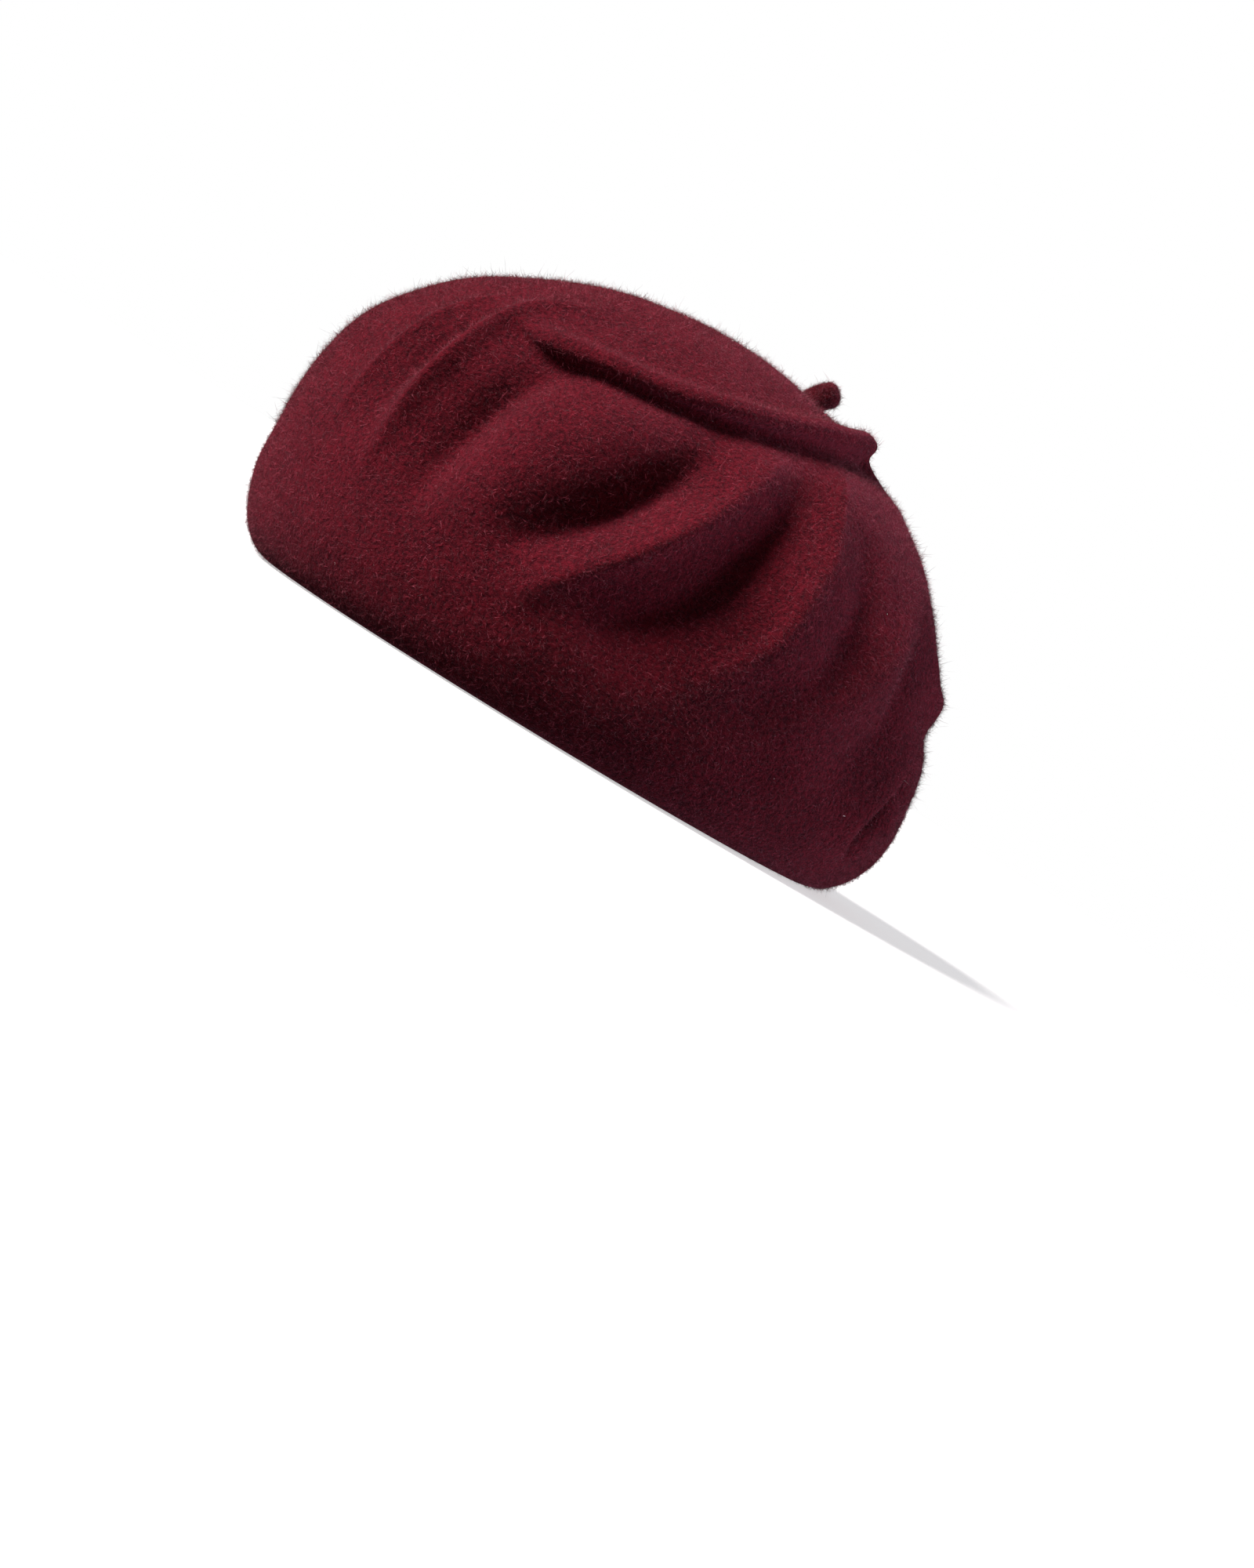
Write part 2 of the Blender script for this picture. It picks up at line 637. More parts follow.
def shaped(block, folds, points, normals, inside=False):
    """Block points moved to where the draped felt is."""
    moved = points + normals * soft_waves(points)[:, None]
    for fold in folds:
        reach = fold.line.distance(points) < 48
        if reach.any():
            moved[reach] += fold.shift(points[reach], normals[reach], inside)
    return moved


# ---------------------------------------------------------------- mesh helpers


def rings(reach, step, columns):
    """A flat disc of points in rings, from its edge to its middle, with half as many where they would crowd."""
    count = max(4, round(reach / step))
    verts, faces, starts = [], [], []
    in_ring = columns
    for ring in range(count):
        radius = reach * (1 - ring / count)
        if in_ring > 12 and 2 * math.pi * radius / in_ring < 0.62 * step:
            in_ring //= 2
        turn = np.arange(in_ring) * 2 * math.pi / in_ring
        starts.append((len(verts), in_ring))
        verts.extend(zip(radius * np.cos(turn), radius * np.sin(turn)))
    for (first, many), (second, fewer) in zip(starts, starts[1:]):
        for k in range(fewer):
            after = (k + 1) % fewer
            if many == fewer:
                faces.append((first + k, first + after, second + after, second + k))
            else:
                a, b, c = first + 2 * k, first + 2 * k + 1, first + (2 * k + 2) % many
                faces += [(a, b, second + k), (b, second + after, second + k), (b, c, second + after)]
    middle = len(verts)
    verts.append((0.0, 0.0))
    first, many = starts[-1]
    faces += [(first + k, first + (k + 1) % many, middle) for k in range(many)]
    return np.array(verts), faces


def divided(flat, faces, wanted, times):
    """Splits the faces whose corners are wanted(points) in half each way, as many times as asked."""
    mesh = bmesh.new()
    corners = [mesh.verts.new((x, y, 0)) for x, y in flat]
    for face in faces:
        mesh.faces.new([corners[i] for i in face])
    for level in range(times):
        mesh.verts.ensure_lookup_table()
        near = wanted(np.array([v.co.xy for v in mesh.verts], float), level)
        for vert, is_near in zip(mesh.verts, near):
            vert.tag = bool(is_near)
        edges = [e for e in mesh.edges if e.verts[0].tag and e.verts[1].tag]
        bmesh.ops.subdivide_edges(mesh, edges=edges, cuts=1, use_grid_fill=True)
    mesh.verts.index_update()
    flat = np.array([v.co.xy for v in mesh.verts], float)
    faces = [[v.index for v in f.verts] for f in mesh.faces]
    mesh.free()
    return flat, faces


def build(name, verts, faces, material, body, node=None):
    """A piece from millimetre points: its mesh, finish, body and the CAD node it stands for."""
    mesh = bpy.data.meshes.new(name)
    mesh.from_pydata((np.asarray(verts, float) * MM).tolist(), [], [tuple(f) for f in faces])
    mesh.validate()
    mesh.shade_smooth()
    piece = bpy.data.objects.new(name, mesh)
    bpy.context.scene.collection.objects.link(piece)
    mesh.materials.append(material)
    if body:
        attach(piece, body)
    if node:
        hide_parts(node)
    return piece


def frames(points, closed=False):
    """Unit vectors along a line of points, and two across it that turn as little as they can."""
    if closed:
        forward = unit(np.roll(points, -1, axis=0) - np.roll(points, 1, axis=0))
    else:
        forward = unit(np.gradient(points, axis=0))
    guide = np.array([0.0, 0.0, 1.0]) if abs(forward[0, 2]) < 0.9 else np.array([1.0, 0.0, 0.0])
    across, above = [], []
    for way in forward:
        across.append(unit(np.cross(guide, way)))
        guide = unit(np.cross(way, across[-1]))
        above.append(guide)
    return forward, np.array(across), np.array(above)


def tube(points, radii, sides=7):
    """A closed tube round a line of points, with a radius for each."""
    points = np.asarray(points, float)
    _, across, above = frames(points)
    turn = np.arange(sides) * 2 * math.pi / sides
    rings_of = across[:, None] * np.cos(turn)[None, :, None] + above[:, None] * np.sin(turn)[None, :, None]
    verts = (points[:, None] + rings_of * np.broadcast_to(radii, len(points))[:, None, None]).reshape(-1, 3)
    faces = []
    for k in range(len(points) - 1):
        ring = np.arange(sides) + k * sides
        faces += strip(ring, ring + sides)
    faces.append(tuple(range(sides))[::-1])
    faces.append(tuple(range((len(points) - 1) * sides, len(points) * sides)))
    return verts, faces


def thread(points, radius, twist=1.7):
    """Two plies of thread twisted together along a line of points, as a list of tubes."""
    points = np.asarray(points, float)
    way = np.concatenate([[0], np.cumsum(np.linalg.norm(np.diff(points, axis=0), axis=1))])
    _, across, above = frames(points)
    plies = []
    for start in (0, math.pi):
        turn = (start + way * 2 * math.pi / twist)[:, None]
        middle = points + (across * np.cos(turn) + above * np.sin(turn)) * radius * 0.46
        plies.append(tube(middle, np.full(len(points), radius * 0.56), sides=6))
    return plies


def stitch(middle, along, up, long, radius):
    """One stitch that rises out of the cloth, lies along it and goes back in."""
    share = np.linspace(-1, 1, 11)[:, None]
    arch = radius * (0.25 - 2.4 * np.abs(share) ** 5)
    return thread(middle + along * share * long / 2 + up * arch, radius)


def band(path, wide, half, thickness, ribs=0.0, rib_steps=4, rows=6, closed=False):
    """A ribbon along a line of points, with the way across it, half its width and its thickness at each point.
    Its ribs stand on both faces, one for every few points."""
    path = np.asarray(path, float)
    count = len(path)
    forward, _, _ = frames(path, closed)
    out = unit(np.cross(forward, wide))
    swell = ribs * np.cos(np.arange(count) * 2 * math.pi / rib_steps)
    depth = np.broadcast_to(thickness, count) / 2 + swell
    verts = []
    for side in (1, -1):
        for row in range(rows + 1):
            share = 2 * row / rows - 1
            thin = 0.55 if row in (0, rows) else 1.0
            across = np.asarray(wide) * (np.broadcast_to(half, count) * share)[:, None]
            verts.append(path + across + out * (side * thin * depth)[:, None])
    line = np.arange(count)
    last = rows + 1
    faces = []
    for low, high in [(r, r + 1) for r in range(rows)] + [(last + r + 1, last + r) for r in range(rows)]:
        faces += strip(low * count + line, high * count + line)
    faces += strip(last * count + line, line) + strip(rows * count + line, (last + rows) * count + line)
    if not closed:
        ends = {0, count - 1}
        faces = [face for face in faces if not ends <= {i % count for i in face}]
        for end in (0, count - 1):
            faces += [
                (r * count + end, (r + 1) * count + end, (last + r + 1) * count + end, (last + r) * count + end)
                for r in range(rows)
            ]
    return np.vstack(verts), faces


def oval_line(half_width, half_length, height, count):
    """Points evenly round an oval, from the back to the wearer's left."""
    turn = np.linspace(0, 2 * math.pi, 4001)
    line = np.stack([half_width * np.sin(turn), half_length * np.cos(turn)], 1)
    way = np.concatenate([[0], np.cumsum(np.linalg.norm(np.diff(line, axis=0), axis=1))])
    even = np.arange(count) * way[-1] / count
    x, y = (np.interp(even, way, column) for column in line.T)
    return np.stack([x, y, np.full(count, height)], 1)


def joined(parts):
    """One list of verts and faces from many."""
    verts, faces, start = [], [], 0
    for some_verts, some_faces in parts:
        verts.append(some_verts)
        faces += [[i + start for i in face] for face in some_faces]
        start += len(some_verts)
    return np.vstack(verts), faces


# ---------------------------------------------------------------- the felt


def felt_paint(settings, name, inside=False, tone=1.0):
    """Wool felt: a fine heather of two wools, soft mottling, a matt nap and a little sheen."""
    paint = Paint(name, roughness=0.96, specular_ior_level=0.12, sheen_weight=0.26, sheen_roughness=0.34)
    put(paint.tree, paint.shader.inputs["Sheen Tint"], (0.62, 0.12, 0.20))
    grain = paint.noise(2600.0, 3.0, 0.62)
    clumps = paint.noise(760.0, 2.0, 0.55)
    patches = paint.noise(46.0, 2.0, 0.5)
    strands = paint.node(
        "TexNoise", Vector=paint.scaled(paint.place(), (1.0, 0.45, 1.7)), Scale=1500.0, Detail=2.0, Distortion=1.2
    )
    share = (grain * 0.30 + clumps * 0.52 + strands * 0.44 + patches * 0.16 - 0.21).part(0.32, 0.68)
    light = (settings.inside if inside else settings.light) * tone
    dark = (settings.inside * 0.6 if inside else settings.dark) * tone
    base = paint.mix(share, dark, light)
    fine = paint.bump(grain, 0.00035, 0.9)
    normal = paint.bump(clumps + strands * 0.6, 0.0011, 0.85, fine)
    return paint.finish(base, normal=normal)


class BERET_OT_crown(bpy.types.Operator):
    """Shapes the felt crown with its tuck and folds"""

    bl_idname = "beret.crown"
    bl_label = "Felt crown"

    def execute(self, context):
        scene = context.scene
        sizes, fineness = scene.beret_block, scene.beret_mesh
        block = Block(sizes)
        folds = drape(block)
        flat, faces = rings(block.reach, fineness.step, fineness.columns)

        def near_folds(points, level):
            at = block.at(points)
            near = np.zeros(len(points), bool)
            for fold in folds:
                if isinstance(fold, Roll):
                    near |= fold.line.distance(at) < fineness.nearest - 3 * level
                elif fold.fine and level == 0:
                    near |= fold.line.distance(at) < fineness.near
            return near & (np.linalg.norm(points, axis=1) < block.reach - 2 * fineness.step)

        flat, faces = divided(flat, faces, near_folds, 2)
        outer = shaped(block, folds, block.at(flat), block.normals(flat))

        verts, faces = [outer], [list(f) for f in faces]
        turn = np.arange(fineness.columns) * 2 * math.pi / fineness.columns
        edge = np.arange(fineness.columns)
        round_way = np.stack([np.cos(turn), np.sin(turn)], 1)
        hem = [
            (-0.9, -0.02), (-2.2, 0.0), (-3.4, 0.15), (-4.2, 0.75), (-4.7, 1.7), (-4.7, 4), (-4.7, 8),
            (-4.6, 11),
            (-4.1, 11.8), (-3.2, 12.1), (-2.4, 11.8), (-2.0, 11.0), (-2.0, 7), (-1.9, 4.2), (-1.1, 3.0),
            (0.6, 2.75),
        ]
        total = len(outer)
        for aside, height in hem:
            radii = np.array([sizes.rim_width, sizes.rim_length]) + aside
            verts.append(np.column_stack([round_way * radii, np.full(len(turn), height)]))
            ring = total + np.arange(len(turn))
            faces += strip(edge, ring)
            edge, total = ring, total + len(turn)

        inner_reach = block.reach - 5.5
        inner_flat, inner_faces = rings(inner_reach, fineness.inner_step, fineness.columns)
        inner_at, inner_out = block.at(inner_flat), block.normals(inner_flat)
        inner = shaped(block, folds, inner_at, inner_out, inside=True) - inner_out * sizes.felt
        verts.append(inner)
        faces += strip(edge, total + np.arange(fineness.columns))
        faces += [[i + total for i in reversed(face)] for face in inner_faces]

        felt = scene.beret_felt
        piece = build(
            "felt_crown", np.vstack(verts), faces, felt_paint(felt, "wool_felt"), "root", "felt_body"
        )
        piece.data.materials.append(felt_paint(felt, "wool_felt_inside", inside=True))
        inner_first = total
        for face in piece.data.polygons:
            if min(face.vertices) >= inner_first:
                face.material_index = 1
        fix_normals(piece)
        return {"FINISHED"}


def strip(first, second):
    """Faces between two rings with as many points each."""
    return [(a, d, c, b) for a, b, c, d in zip(first, np.roll(first, -1), np.roll(second, -1), second)]


def fix_normals(piece):
    """Turns all faces outward."""
    mesh = bmesh.new()
    mesh.from_mesh(piece.data)
    bmesh.ops.recalc_face_normals(mesh, faces=mesh.faces)
    mesh.to_mesh(piece.data)
    mesh.free()


def surface_of(piece):
    """Triangles of a finished piece in millimetres: corner points, corner normals and areas."""
    mesh = piece.data
    mesh.calc_loop_triangles()
    places = np.zeros(len(mesh.vertices) * 3)
    mesh.vertices.foreach_get("co", places)
    places = places.reshape(-1, 3) / MM
    normals = np.zeros(len(mesh.vertices) * 3)
    mesh.vertices.foreach_get("normal", normals)
    normals = normals.reshape(-1, 3)
    corners = np.zeros(len(mesh.loop_triangles) * 3, int)
    mesh.loop_triangles.foreach_get("vertices", corners)
    corners = corners.reshape(-1, 3)
    a, b, c = (places[corners[:, k]] for k in range(3))
    area = np.linalg.norm(np.cross(b - a, c - a), axis=1) / 2
    return places[corners], normals[corners], area


def roots(surface, count, random, keep=None):
    """Random places on a surface, with the normal at each."""
    corners, normals, area = surface
    chance = area.copy()
    if keep is not None:
        chance = chance * keep(corners.mean(1), normals.mean(1))
    chosen = random.choice(len(area), size=count, p=chance / chance.sum())
    u, v = random.random((2, count))
    over = u + v > 1
    u[over], v[over] = 1 - u[over], 1 - v[over]
    weight = np.stack([1 - u - v, u, v], 1)[:, :, None]
    return (corners[chosen] * weight).sum(1), unit((normals[chosen] * weight).sum(1))


def fibres(at, up, random, length, width, lift, curl, spans=2):
    """Thin tapering ribbons that rise from the felt, by angles in the lift's range, and curl over."""
    count = len(at)
    way = unit(np.cross(up, random.normal(size=(count, 3))))
    long = length * np.exp(random.normal(0, 0.34, count))
    rise = random.uniform(lift[0], lift[1], count)
    bend = random.normal(0, curl, (count, 3)) + up * random.normal(-0.25, 0.5, (count, 1)) * curl
    start = way * np.cos(rise)[:, None] + up * np.sin(rise)[:, None]
    side = unit(np.cross(start, random.normal(size=(count, 3))))
    rows = []
    for k in range(spans + 1):
        share = k / spans
        middle = at - up * 0.12 + long[:, None] * (start * share + bend * share**2)
        half = width / 2 * (1 - 0.55 * share)
        if k < spans:
            rows += [middle - side * half, middle + side * half]
        else:
            rows.append(middle)
    verts = np.stack(rows, 1).reshape(-1, 3)
    stride = len(rows)
    first = np.arange(count)[:, None] * stride
    quads = [first + np.array([[2 * k, 2 * k + 1, 2 * k + 3, 2 * k + 2]]) for k in range(spans - 1)]
    tips = first + np.array([[stride - 3, stride - 2, stride - 1]])
    faces = [row for quad in quads for row in quad.tolist()] + tips.tolist()
    return verts, faces


def fibre_paint(name, tint):
    """A wool fibre: matt, with a little light through it."""
    paint = Paint(name, base_color=tint, roughness=0.85, specular_ior_level=0.2, sheen_weight=0.2)
    return paint.material


class BERET_OT_nap(bpy.types.Operator):
    """Grows the nap of fine fibres and a few stray hairs on the felt"""

    bl_idname = "beret.nap"
    bl_label = "Nap"

    def execute(self, context):
        felt = context.scene.beret_felt
        stalk_root = stalk_line(Block(context.scene.beret_block))[0]
        random = np.random.default_rng(41)
        surface = surface_of(bpy.data.objects["felt_crown"])

        def outside(middle, normal):
            block = np.array([0.0, 0.0, 45.0])
            outward = np.einsum("ij,ij->i", normal, middle - block) > 0
            clear = np.linalg.norm(middle - stalk_root, axis=1) > 5
            return outward & (middle[:, 2] > 0.6) & clear

        count = felt.fibres
        for shade in ("light", "middle", "dark"):
            name, tint = "fibres_" + shade, getattr(felt, "fibre_" + shade)
            at, up = roots(surface, count, random, outside)
            verts, faces = fibres(at, up, random, felt.fibre_length, felt.fibre_width, lift=(0.2, 1.1), curl=0.24)
            verts[:, 2] = np.maximum(verts[:, 2], 0.02)
            build(name, verts, faces, fibre_paint(name, tint), "root")
        at, up = roots(surface, felt.strays, random, outside)
        verts, faces = fibres(
            at, up, random, felt.stray_length, felt.fibre_width, lift=(0.3, 1.1), curl=0.45, spans=6
        )
        verts[:, 2] = np.maximum(verts[:, 2], 0.02)
        build("stray_hairs", verts, faces, fibre_paint("stray_hairs", felt.fibre_middle), "root")
        at, up = roots(surface, felt.specks, random, outside)
        verts, faces = fibres(
            at + up * 0.35, up, random, length=1.1, width=0.22, lift=(-0.1, 0.25), curl=0.3, spans=4
        )
        verts[:, 2] = np.maximum(verts[:, 2], 0.02)
        build("lint_specks", verts, faces, fibre_paint("lint", felt.lint), "root")
        return {"FINISHED"}


# ---------------------------------------------------------------- ribbon, thread and labels


def ribbon_paint(tint, name):
    """Grosgrain: fine warp yarns along it and a soft shine; its ribs are in the mesh."""
    paint = Paint(name, specular_ior_level=0.35, sheen_weight=0.25, sheen_roughness=0.4)
    height = paint.node("SeparateXYZ", Vector=paint.place(), output=2)
    yarns = (height * (2 * math.pi / 0.00042)).sine() * 0.5 + 0.5
    worn = paint.noise(90.0, 3.0)
    fuzz = paint.noise(1400.0, 2.0)
    base = paint.mix((yarns * 0.35 + worn * 0.4 + fuzz * 0.3).part(0.25, 0.85), tint * 0.62, tint * 1.35)
    normal = paint.bump(yarns * 0.6 + fuzz, 0.00012, 0.7)
    return paint.finish(base, rough=worn * 0.25 + 0.42, normal=normal)


def thread_paint(tint, name):
    """Spun thread: a little lighter along its ridges, with loose fibres."""
    paint = Paint(name, specular_ior_level=0.4, sheen_weight=0.3, sheen_roughness=0.4)
    hairs = paint.noise(3200.0, 3.0, 0.65)
    worn = paint.noise(160.0, 2.0)
    base = paint.mix((hairs * 0.7 + worn * 0.4).part(0.3, 0.8), tint * 0.55, tint * 1.5)
    return paint.finish(base, rough=hairs * 0.3 + 0.45, normal=paint.bump(hairs, 0.00015, 0.8))


def label_paint(tint, edge, name, border=True):
    """Satin-woven label with a plain woven border and no lettering."""
    paint = Paint(name, specular_ior_level=0.5, sheen_weight=0.35, sheen_roughness=0.3)
    along = paint.node("SeparateXYZ", Vector=paint.place(), output=1)
    height = paint.node("SeparateXYZ", Vector=paint.place(), output=2)
    warp = (along * (2 * math.pi / 0.00034)).sine() * 0.5 + 0.5
    weft = (height * (2 * math.pi / 0.00046) + (along * (math.pi / 0.00068)).sine() * 1.3).sine() * 0.5 + 0.5
    worn = paint.noise(120.0, 3.0)
    base = paint.mix((warp * 0.25 + weft * 0.35 + worn * 0.5).part(0.2, 0.9), tint * 0.80, tint * 1.12)
    if border:
        from_middle = (height - LABEL_LEVEL * MM).maths("ABSOLUTE") * (1 / MM)
        from_centre = along.maths("ABSOLUTE") * (1 / MM)
        lines, inside = [], 1.0
        for distance, near in ((from_middle, 5.5), (from_centre, 15.5)):
            far = near + 0.7
            short = 1 - distance.part(far - 0.05, far + 0.05)
            lines.append(distance.part(near - 0.05, near + 0.05) * short)
            inside = short * inside
        base = paint.mix(lines[0].maths("MAXIMUM", lines[1]) * inside, base, edge)
    normal = paint.bump(warp * 0.4 + weft, 0.00010, 0.8)
    return paint.finish(base, rough=worn * 0.2 + 0.38, normal=normal)


def made(name, parts, material, body, node=None):
    """A piece from one or more lots of verts and faces, with its faces turned outward."""
    verts, faces = joined(parts)
    piece = build(name, verts, faces, material, body, node)
    fix_normals(piece)
    return piece


class BERET_OT_sweatband(bpy.types.Operator):
    """Weaves the ribbon sweatband, ties its bow and sews it in"""

    bl_idname = "beret.sweatband"
    bl_label = "Sweatband"

    def execute(self, context):
        sizes, trim = context.scene.beret_block, context.scene.beret_trim
        tint = trim.ribbon
        half = trim.ribbon_height / 2
        middle = trim.ribbon_base + half
        skin = trim.ribbon_thickness / 2
        wide, long = sizes.opening_width, sizes.opening_length
        around = np.linalg.norm(np.diff(oval_line(wide, long, 0, 2000), axis=0), axis=1).sum()
        count = 4 * round(around / trim.rib_pitch)
        path = oval_line(wide + skin, long + skin, middle, count)
        verts, faces = band(path, (0, 0, 1), half, trim.ribbon_thickness - 0.14, ribs=0.06, rows=8, closed=True)
        flare = ease((verts[:, 2] - middle - half + 4.5) / 4.5) * (verts[:, 1] / long) ** 2
        verts[:, 1] -= np.sign(verts[:, 1]) * flare * (0.25 + 0.15 * np.sin(verts[:, 0] * 0.16))
        material = ribbon_paint(tint, "grosgrain")
        piece = made("sweatband_ribbon", [(verts, faces)], material, "root", "sweatband")

        def inward(x, depth):
            """Where the bow's ribbon runs at the back: this far from the middle and off the sweatband."""
            y = long * np.sqrt(1 - (x / wide) ** 2)
            normal = unit(np.stack([x / wide**2, y / long**2], 1))
            return np.stack([x, y], 1) - normal * depth[:, None]

        loop = [
            (0, 0.36), (6, 0.36), (11, 0.38), (13.9, 0.55), (14.6, 1.15), (13.7, 1.95), (10.5, 2.25), (6, 1.95),
            (2.6, 1.42), (0, 1.34),
        ]
        loop += [(-x, depth) for x, depth in loop[-2:0:-1]]
        loop = smooth_line([*loop, loop[0]], 241)[:-1]
        flat = inward(loop[:, 0], loop[:, 1])
        path = np.column_stack([flat, np.full(len(flat), BOW_LEVEL)])
        heights = 2.45 + 2.0 * np.abs(loop[:, 0]) / BOW_HALF_WIDTH
        loops = band(path, (0, 0, 1), heights, 0.40, ribs=0.05, rows=6, closed=True)
        made("bow_ribbon", [loops], material, "root", "bow_loops")

        turn = np.arange(64) * 2 * math.pi / 64
        deep = np.sign(np.cos(turn)) * np.abs(np.cos(turn)) ** 0.6
        high = np.sign(np.sin(turn)) * np.abs(np.sin(turn)) ** 0.5
        path = np.column_stack([np.zeros(len(turn)), KNOT_MIDDLE + 0.93 * deep, BOW_LEVEL + 3.2 * high])
        pinch = 2.45 - 0.2 * np.maximum(0, -deep)
        knot = band(path, (1, 0, 0), pinch, 0.40, ribs=0.05, rows=6, closed=True)
        made("bow_knot_ribbon", [knot], material, "root", "bow_knot")

        radius = trim.thread_radius
        sewn = oval_line(wide - radius, long - radius, RIBBON_STITCH_LEVEL, trim.stitches)
        forward, _, _ = frames(sewn, closed=True)
        inner = unit(np.cross(forward, (0, 0, 1)))
        inner *= np.sign((inner * -sewn).sum(1))[:, None]
        parts = [p for m, f, u in zip(sewn, forward, inner) for p in stitch(m, f, u, STITCH_LENGTH, radius)]
        material = thread_paint(trim.thread, "sewing_thread")
        made("ribbon_stitching", parts, material, "root", "sweatband_stitches")
        return {"FINISHED"}


class BERET_OT_labels(bpy.types.Operator):
    """Makes the blank label and the blank size tab"""

    bl_idname = "beret.labels"
    bl_label = "Labels"

    def execute(self, context):
        sizes, trim = context.scene.beret_block, context.scene.beret_trim
        wide, long = sizes.opening_width, sizes.opening_length
        y = np.linspace(-LABEL_HALF_WIDTH, LABEL_HALF_WIDTH, 121)
        off = LABEL_GAP + LABEL_THICKNESS / 2
        x = -(wide - off) * np.sqrt(1 - (y / (long - off)) ** 2)
        folded = np.where(np.abs(y) > LABEL_HALF_WIDTH - 3.2, 0.34, 0.23)
        path = np.column_stack([x, y, np.full(len(y), LABEL_LEVEL)])
        woven = band(path, (0, 0, 1), LABEL_HALF_HEIGHT, folded, rows=14)
        paint = label_paint(trim.label, trim.ribbon, "label_weave")
        label = made("blank_label", [woven], paint, "root", "maker_label")

        parts = []
        radius = trim.thread_radius
        out = LABEL_HALF_WIDTH - LABEL_TACK_INSET
        rise = LABEL_HALF_HEIGHT - LABEL_TACK_INSET
        for along in (-out, out):
            inner = (wide - LABEL_GAP - LABEL_THICKNESS - radius) * math.sqrt(1 - (along / (long - 0.8)) ** 2)
            for level in (LABEL_LEVEL - rise, LABEL_LEVEL + rise):
                place = np.array([-inner, along, level])
                parts += stitch(place, np.array([0.0, 1, 0]), np.array([1.0, 0, 0]), STITCH_LENGTH, radius)
        material = thread_paint(trim.label_thread, "label_thread")
        made("label_tacks", parts, material, "root", "label_stitches")

        fold = [
            (79.36, 24.3), (79.40, 21), (79.42, 16), (79.44, 11.6), (79.15, 10.2), (78.86, 11.6), (78.87, 16),
            (78.89, 21), (78.96, 24.3),
        ]
        fold = smooth_line(fold, 90)
        path = np.column_stack([fold[:, 0], np.zeros(len(fold)), fold[:, 1]])
        tab = band(path, (0, 1, 0), TAB_HALF_WIDTH, 0.20, rows=10)
        material = label_paint(trim.label, trim.ribbon, "tab_weave", border=False)
        made("blank_size_tab", [tab], material, "size_tab", "size_tab")
        return {"FINISHED"}


class BERET_OT_sewing(bpy.types.Operator):
    """Sews the stitches inside the crown that hold the tuck, the folds and the stalk"""

    bl_idname = "beret.sewing"
    bl_label = "Sewing"

    def execute(self, context):
        sizes, trim = context.scene.beret_block, context.scene.beret_trim
        block = Block(sizes)
        folds = drape(block)
        material = thread_paint(trim.thread, "crown_thread")
        radius = trim.thread_radius

        def under(points, normals):
            """The inner face of the felt below points of the block."""
            inner = shaped(block, folds, points, normals, inside=True)
            return inner - normals * (sizes.felt + radius * 0.6)

        def side_points(places):
            """Points on the left of the block from (y, z)."""
            y, z = np.array(places, float).T
            width, long, middle = block.section(z)
            return np.stack([width * np.sqrt(1 - ((y - middle) / long) ** 2), y, z], 1)

        route = smooth_line(side_points(TUCK_ROUTE), 2 * TUCK_STITCHES + 1)[1::2]
        route = block.lay(route)
        up = block.outward(route)
        forward = unit(np.gradient(route, axis=0))
        slant = math.radians(22.5)
        along = forward * math.cos(slant) + np.cross(up, forward) * math.sin(slant)
        places = under(route, up)
        parts = [p for m, f, u in zip(places, along, up) for p in stitch(m, f, -u, STITCH_LENGTH, radius)]
        made("tuck_stitching", parts, material, "root", "tuck_stitches")

        spots = side_points(TACK_PLACES)
        up = block.outward(spots)
        places = under(spots, up)
        parts = []
        for place, out in zip(places, up):
            level = unit(np.cross(out, (0, 0, 1)))
            rise = np.cross(level, out)
            for sign, lift in ((1, 0.0), (-1, 0.5)):
                parts += stitch(place - out * lift, unit(level + sign * rise), -out, TACK_LENGTH, radius)
        made("fold_tacks", parts, material, "root", "pleat_tacks")

        root, pivot, _ = stalk_line(block)
        out = unit(pivot - root)
        below = under(root[None], out[None])[0]
        parts = []
        for sign in (1, -1):
            aside = unit(np.array([1.0, 0, 0]) + sign * np.cross(out, (1.0, 0, 0)))
            parts += stitch(below, aside, -out, STALK_CROSS, radius)
        turn = np.linspace(0, 1, 120)
        lean = np.arccos(1 - 2 * turn)
        swirl = turn * 2 * math.pi * 7
        ball = np.stack([np.sin(lean) * np.cos(swirl), np.sin(lean) * np.sin(swirl), np.cos(lean)], 1)
        parts += thread(below - out * 1.0 + ball * 1.05, radius)
        made("stalk_knot", parts, material, "root", "stalk_stitches")
        return {"FINISHED"}


def stalk_line(block):
    """Where the stalk stands on the crown, the point that it bends about, and the way it leans."""
    lean = math.radians(STALK_LEAN)
    root = block.top(STALK_BEHIND)
    pivot = np.array(next(j for j in frame["joints"] if j["name"] == "stalk_lean")["pos_m"]) / MM
    return root, pivot, np.array([0.0, math.sin(lean), math.cos(lean)])


